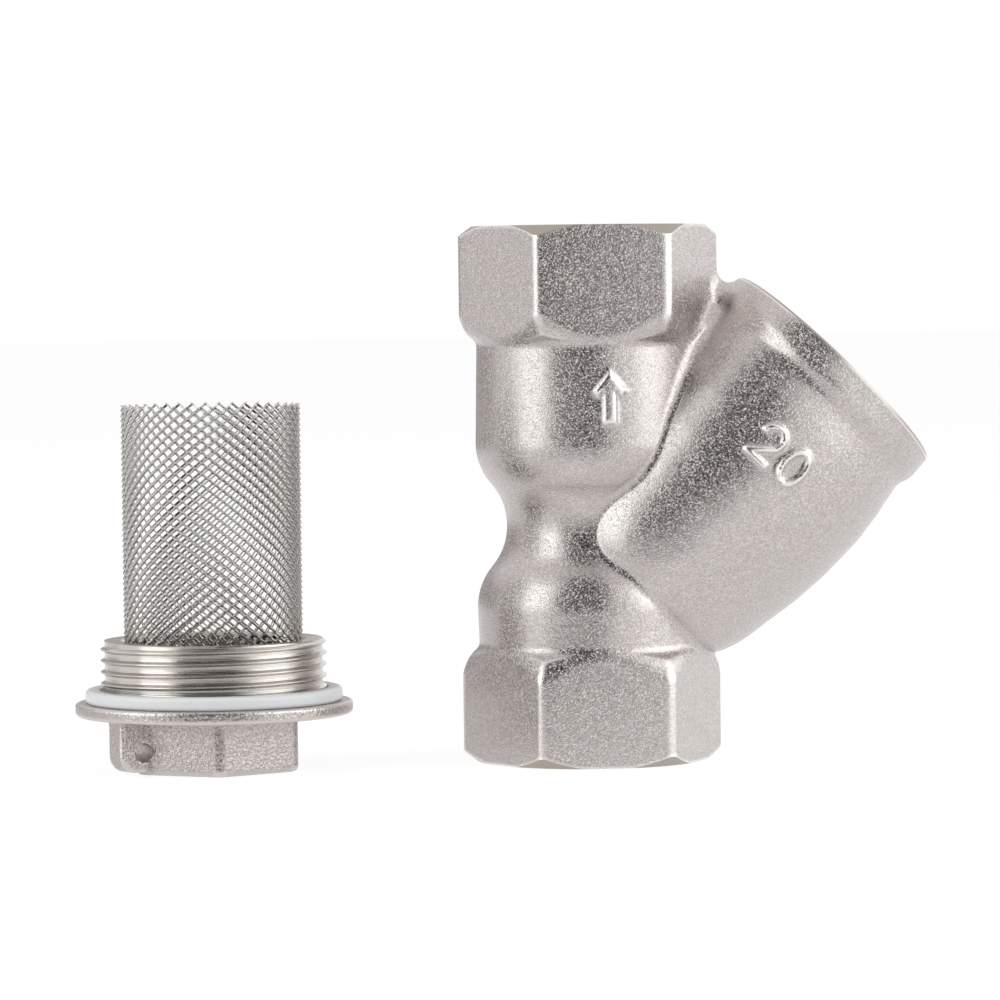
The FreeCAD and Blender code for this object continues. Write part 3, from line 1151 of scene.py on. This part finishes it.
@dataclass
class Cap(SubAssembly):
    """Plug with a hexagon head, a lug for a sealing wire, a flange and a threaded collar."""

    BODY, NODE, SLOT = "cap", "cap", "blasted_nickel"
    head_flats: float = 21.3
    head_edge: float = 1.8
    head_height: float = 7.4
    flange_radius: float = 18.35
    flange_top: float = 9.1
    collar_top: float = 17.3
    thread: Thread = Thread(14.95, 14.4, 1.5, crest_share=0.1, root_share=0.5)
    hollow_radius: float = 10.2
    hollow_floor: float = 8.2
    socket_radius: float = 11.95
    socket_floor: float = 10.6
    lug_reach: float = 15.6
    lug_width: float = 3.4
    lug_side: float = -150.0
    hole_reach: float = 12.2
    hole_height: float = 3.1
    hole_radius: float = 1.25
    voxel: float = 0.17
    flange_table: SectionTable = field(init=False)
    lug_table: SectionTable = field(init=False)

    def __post_init__(self) -> None:
        """Fills the section tables of the flange and of the lug."""
        inner = -30.0
        rim = [(inner, self.head_height, 0.0), (self.flange_radius, self.head_height, 0.55),
               (self.flange_radius, self.flange_top, 0.4), (inner, self.flange_top, 0.0)]
        self.flange_table = SectionTable(rounded(rim, 0.08))
        lug = [(inner, 0.5, 0.0), (self.lug_reach, 0.5, 2.3), (self.lug_reach, 9.0, 0.0),
               (inner, 9.0, 0.0)]
        self.lug_table = SectionTable(rounded(lug, 0.1))

    def distance(self, points: np.ndarray) -> np.ndarray:
        """Distance to the forged part of the cap.

        Args:
            points: The points, one row each.

        Returns:
            The distances, negative inside.
        """
        x, y, z = points.T
        head = hexagon_distance(y, x, self.head_flats, self.head_edge)
        head = round_meet(head, np.maximum(-z, z - self.flange_top + 0.5), 0.8)
        turn = math.radians(self.lug_side)
        along = x * math.cos(turn) + y * math.sin(turn)
        aside = y * math.cos(turn) - x * math.sin(turn)
        lug = np.where(along > 0, self.lug_table(np.abs(along), z), 5.0)
        lug = round_meet(lug, np.abs(aside) - self.lug_width / 2, 0.5)
        lug = np.maximum(lug, z - self.head_height - 0.6)
        hole = np.hypot(along - self.hole_reach, z - self.hole_height) - self.hole_radius
        head = np.maximum(round_union(head, lug, 0.4), -np.maximum(hole, np.abs(aside) - 5.4))
        return round_union(head, self.flange_table(np.hypot(x, y), z), 0.75)

    def build(self, place: Matrix) -> bpy.types.Object:
        """Builds the cap.

        Args:
            place: Where it stands, in millimetres.

        Returns:
            The cap.
        """
        pitch = self.voxel * 1
        reach = self.flange_radius + 1
        forging = field_shell(self.distance, (-reach, -reach, -1), (reach, reach, 10.4), pitch)
        made = piece("cap_plug", forging)
        edge, clear = 14.5, 17.0
        top = self.collar_top
        facing = [(0, top), (edge, top), (clear, top + edge - clear), (clear, 22.0), (0, 22.0)]
        step, floor = self.hollow_floor, self.socket_floor
        hollow = [(0, 3.2), (7.9, 3.2), (7.9, step), (self.hollow_radius, step),
                  (self.hollow_radius, floor), (self.socket_radius, floor),
                  (self.socket_radius, 17.0), (12.5, 17.5), (12.5, 20.0), (0, 20.0)]
        collar = self.thread.rod(8.6, 20.6, fade_low=1.0, fade_high=0)
        for name, shell, work in (("tool_collar", collar, Work.JOIN),
                                  ("tool_facing", turned_shell(np.array(facing), 160), Work.CUT),
                                  ("tool_hollow", turned_shell(np.array(hollow)), Work.CUT)):
            combine(made, piece(name, shell, Cut.MACHINED), work)
        lathe_marks(made, [(Matrix.Identity(4), 18.0)])
        wear_marks(made, 0.35, 0.8)
        made.data.transform(Matrix.Translation(place.translation * MM))
        shade(made, SHARP)
        return made


@dataclass
class Gasket(SubAssembly):
    """Flat sealing ring with a soft outer edge."""

    BODY, NODE, SLOT = "gasket", "gasket", "white_seal"
    bore: float = 15.1
    radius: float = 17.0
    low: float = 9.1
    thickness: float = 1.8

    def build(self, place: Matrix) -> bpy.types.Object:
        """Builds the ring.

        Args:
            place: Where the cap that it lies on stands, in millimetres.

        Returns:
            The ring.
        """
        high = self.low + self.thickness
        corners = [(self.bore, self.low, 0.1), (self.radius, self.low, 0.5),
                   (self.radius, high, 0.6), (self.bore, high, 0.15)]
        made = piece("sealing_ring", turned_shell(rounded(corners, 0.08), 180), place=place)
        shade(made, 40)
        return made


@dataclass
class Screen(SubAssembly):
    """Tube of expanded sheet: rows of diamonds between bonds, each row half a diamond round."""

    BODY, NODE, SLOT = "screen", "screen", "steel_mesh"
    radius: float = 11.55
    low: float = 10.7
    high: float = 48.35
    columns: int = 40
    rows: int = 53
    bond_width: float = 0.5
    bond_height: float = 0.4
    peak_width: float = 0.16
    thickness: float = 0.24
    tilt: float = 0.24

    def sheet(self) -> tuple[list[Corner], list[list[int]]]:
        """Lays out the flat sheet.

        Returns:
            Its points as angle, height and lift, and its faces.
        """
        across = 2 * math.pi / self.columns
        half_row = (self.high - self.low - self.bond_height) / (self.rows - 1)
        bond = self.bond_width / 2 / self.radius
        peak = self.peak_width / 2 / self.radius
        rise = self.bond_height / 2
        places = ((-bond, 0.0, 0.0), (-peak, -rise, -1.0), (peak, -rise, -1.0),
                  (bond, 0.0, 0.0), (peak, rise, 1.0), (-peak, rise, 1.0))
        points, faces = [], []
        for row in range(self.rows):
            for column in range(self.columns):
                angle = across * (column + 0.5 * (row % 2))
                height = self.low + rise + row * half_row
                points += [(angle + a, height + h, lift * self.tilt) for a, h, lift in places]
        for row in range(self.rows):
            for column in range(self.columns):
                own = 6 * (row * self.columns + column)
                faces.append([own + k for k in range(6)])
                if row == self.rows - 1:
                    continue
                right = 6 * ((row + 1) * self.columns + (column + row % 2) % self.columns)
                left = 6 * ((row + 1) * self.columns + (column + row % 2 - 1) % self.columns)
                faces.append([own + 3, right + 1, right, own + 4])
                faces.append([own, own + 5, left + 3, left + 2])
        return points, faces

    def build(self, place: Matrix) -> bpy.types.Object:
        """Builds the tube, with the sheet's thickness and its cut edges.

        Args:
            place: Where the cap that it stands in is, in millimetres.

        Returns:
            The screen.
        """
        flat, faces = self.sheet()
        edges = dict.fromkeys(pair for loop in faces for pair in zip(loop, loop[1:] + loop[:1]))
        count = len(flat)
        points = []
        for side in (1, -1):
            for angle, height, lift in flat:
                radius = self.radius + lift + side * self.thickness / 2
                points.append((radius * math.cos(angle), radius * math.sin(angle), height))
        closed = [list(loop) for loop in faces]
        closed += [[count + k for k in reversed(loop)] for loop in faces]
        closed += [[end, start, count + start, count + end]
                   for start, end in edges if (end, start) not in edges]
        made = piece("screen_mesh", Shell(np.array(points), closed), place=place)
        bevel = made.modifiers.new("drawn_edges", "BEVEL")
        bevel.width, bevel.segments, bevel.limit_method = 0.03 * MM, 1, "ANGLE"
        shade(made, 50)
        return made


@dataclass
class Studio:
    """White floor and surroundings, two plain soft lamps, dark and grey cards, and the camera.

    Sizes and distances are in millimetres, angles in degrees. The camera stands at a distance and
    height, aside of the object's axis, and looks along the azimuth.
    """

    azimuth: float = -6.5
    distance: float = 670.0
    height: float = 65.0
    aside: float = -12.1
    pitch: float = -2.578
    lens: float = 180.0
    roll: float = -0.65

    def directions(self) -> tuple[Vector, Vector]:
        """Finds the camera's level directions.

        Returns:
            The way it looks, and the way to its right.
        """
        turn = math.radians(self.azimuth)
        across, deep = math.cos(turn), math.sin(turn)
        return Vector((-deep, across, 0)), Vector((across, deep, 0))

    def camera(self) -> None:
        """Places the camera."""
        ahead, right = self.directions()
        data = bpy.data.cameras.new("camera")
        data.lens, data.sensor_width = self.lens, 36.0
        data.clip_start, data.clip_end = 0.01, 50.0
        made = linked("camera", data)
        place = (right * self.aside - ahead * self.distance + Vector((0, 0, self.height))) * MM
        turned = Matrix.Translation(place)
        for angle, axis in ((self.azimuth, "Z"), (90 + self.pitch, "X"), (self.roll, "Z")):
            turned = turned @ Matrix.Rotation(math.radians(angle), 4, axis)
        made.matrix_world = turned
        bpy.context.scene.camera = made

    def world(self) -> None:
        """White surroundings: white to the camera, a plain level for the light."""
        world = bpy.data.worlds.new("white_room")
        bpy.context.scene.world = world
        nodes = Nodes(world)
        level = {"Value": nodes.seen(), "To Min": 0.4, "To Max": 1.0}
        level = nodes.add("ShaderNodeMapRange", level).outputs["Result"]
        light = {"Color": linear("#ffffff"), "Strength": level}
        light = nodes.add("ShaderNodeBackground", light).outputs["Background"]
        nodes.add("ShaderNodeOutputWorld", {"Surface": light})

    def floor(self) -> None:
        """Pale floor that shows white and keeps a soft shadow."""
        nodes = Nodes(bpy.data.materials.new("white_table"))
        matt = nodes.add("ShaderNodeBsdfDiffuse", {"Color": linear("#f2f2f2")})
        shaded = nodes.add("ShaderNodeBsdfDiffuse", {"Color": linear("#959595")})
        glow = nodes.add("ShaderNodeEmission", {"Color": linear("#ffffff"), "Strength": 0.86})
        white = nodes.add("ShaderNodeAddShader", {0: shaded.outputs[0], 1: glow.outputs[0]})
        surface = {0: nodes.seen(), 1: matt.outputs[0], 2: white.outputs[0]}
        surface = nodes.add("ShaderNodeMixShader", surface).outputs[0]
        made = self.plane("floor", 6000, 6000, Matrix.Translation((0, 1500, -0.05)))
        made.data.materials.append(nodes.finish(surface))

    def plane(self, name: str, width: float, depth: float, place: Matrix) -> bpy.types.Object:
        """Makes a stage plane.

        Args:
            name: Its name.
            width: Its size along X.
            depth: Its size along Y.
            place: Where its middle lies.

        Returns:
            The plane, without a material.
        """
        x, y = width / 2, depth / 2
        corners = np.array([(-x, -y, 0), (x, -y, 0), (x, y, 0), (-x, y, 0)])
        made = piece(name, Shell(corners, [(0, 1, 2, 3)]), place=place)
        made.data.materials.clear()
        return made

    def card(
        self, name: str, azimuths: Place, away: Place, height: float, top: float, colour: str
    ) -> None:
        """A standing card, seen only in what the pieces reflect.

        Args:
            name: The card's name.
            azimuths: Where it starts and ends, in degrees to the right of the camera's direction.
            away: How far off it starts and ends.
            height: Height of its level part.
            top: How much further it rises, in degrees above that.
            colour: The card's colour.
        """
        posts = 9
        steps = np.radians(np.linspace(*azimuths, posts) + self.azimuth)
        reach = np.geomspace(*away, posts)
        steep = math.tan(math.radians(top))
        points = [(r * math.sin(a), -r * math.cos(a), rise * (height + r * steep))
                  for rise in (0, 1) for r, a in zip(reach, steps)]
        faces = [(k, k + 1, k + posts + 1, k + posts) for k in range(posts - 1)]
        made = piece(name, Shell(np.array(points), faces))
        made.data.materials.clear()
        nodes = Nodes(bpy.data.materials.new(name))
        glow = nodes.add("ShaderNodeEmission", {"Color": linear(colour)}).outputs[0]
        made.data.materials.append(nodes.finish(glow))
        made.visible_camera = made.visible_shadow = made.visible_diffuse = False

    def lamp(self, name: str, place: Corner, size: Place, power: float) -> None:
        """Sets a plain soft lamp that looks at the middle of the part.

        Args:
            name: The lamp's name.
            place: Where it stands.
            size: Its width and height.
            power: Its power in watts.
        """
        tint, middle = (0.95, 1.0, 0.975), Vector((-0.005, 0, 0.035))
        data = bpy.data.lights.new(name, "AREA")
        data.shape, data.energy = "RECTANGLE", power
        data.size, data.size_y = size[0] * MM, size[1] * MM
        data.color = tint
        made = linked(name, data)
        at = Vector(place) * MM
        made.location = at
        made.rotation_euler = (middle - at).to_track_quat("-Z", "Y").to_euler()

    def build(self) -> None:
        """Sets up the whole studio."""
        bpy.context.scene.view_settings.view_transform = "Standard"
        self.camera()
        self.world()
        self.floor()
        dark, grey = "#161413", "#b4b0ae"
        self.card("dark_card", (-43, 17.5), (700, 170), height=60, top=67, colour=dark)
        self.card("thread_card", (-49, 10), (150, 98), height=9, top=0, colour=dark)
        self.card("grey_card", (-175, -112), (500, 500), height=60, top=14, colour=grey)
        self.lamp("left_softbox", (-760, -380, 330), size=(760, 760), power=3.1)
        self.lamp("right_softbox", (800, -215, 330), size=(1150, 760), power=4.8)


def report(made: bpy.types.Object) -> None:
    """Logs a piece's name and how many faces it has."""
    LOG.info("%s: %d faces", made.name, len(made.data.polygons))


def main() -> None:
    """Builds every piece in turn, and then the studio round them."""
    logging.basicConfig(level=logging.INFO, format="%(message)s")
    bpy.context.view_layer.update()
    finishes = (BLASTED, COARSE, MACHINED, EDGE, SEAL, SHEET)
    blasted, coarse, machined, edge, seal, sheet = (finish.build() for finish in finishes)
    stand = Matrix.Translation((-51.0, -4.0, 0.0))
    housing, cap, gasket, screen = Housing(), Cap(), Gasket(), Screen()
    report(housing.dress(housing.build(), (blasted, machined, edge)))
    report(cap.dress(cap.build(stand), (coarse, machined, edge)))
    report(gasket.dress(gasket.build(stand), (seal,)))
    report(screen.dress(screen.build(stand), (sheet,)))
    Studio().build()


if __name__ == "__main__":
    main()
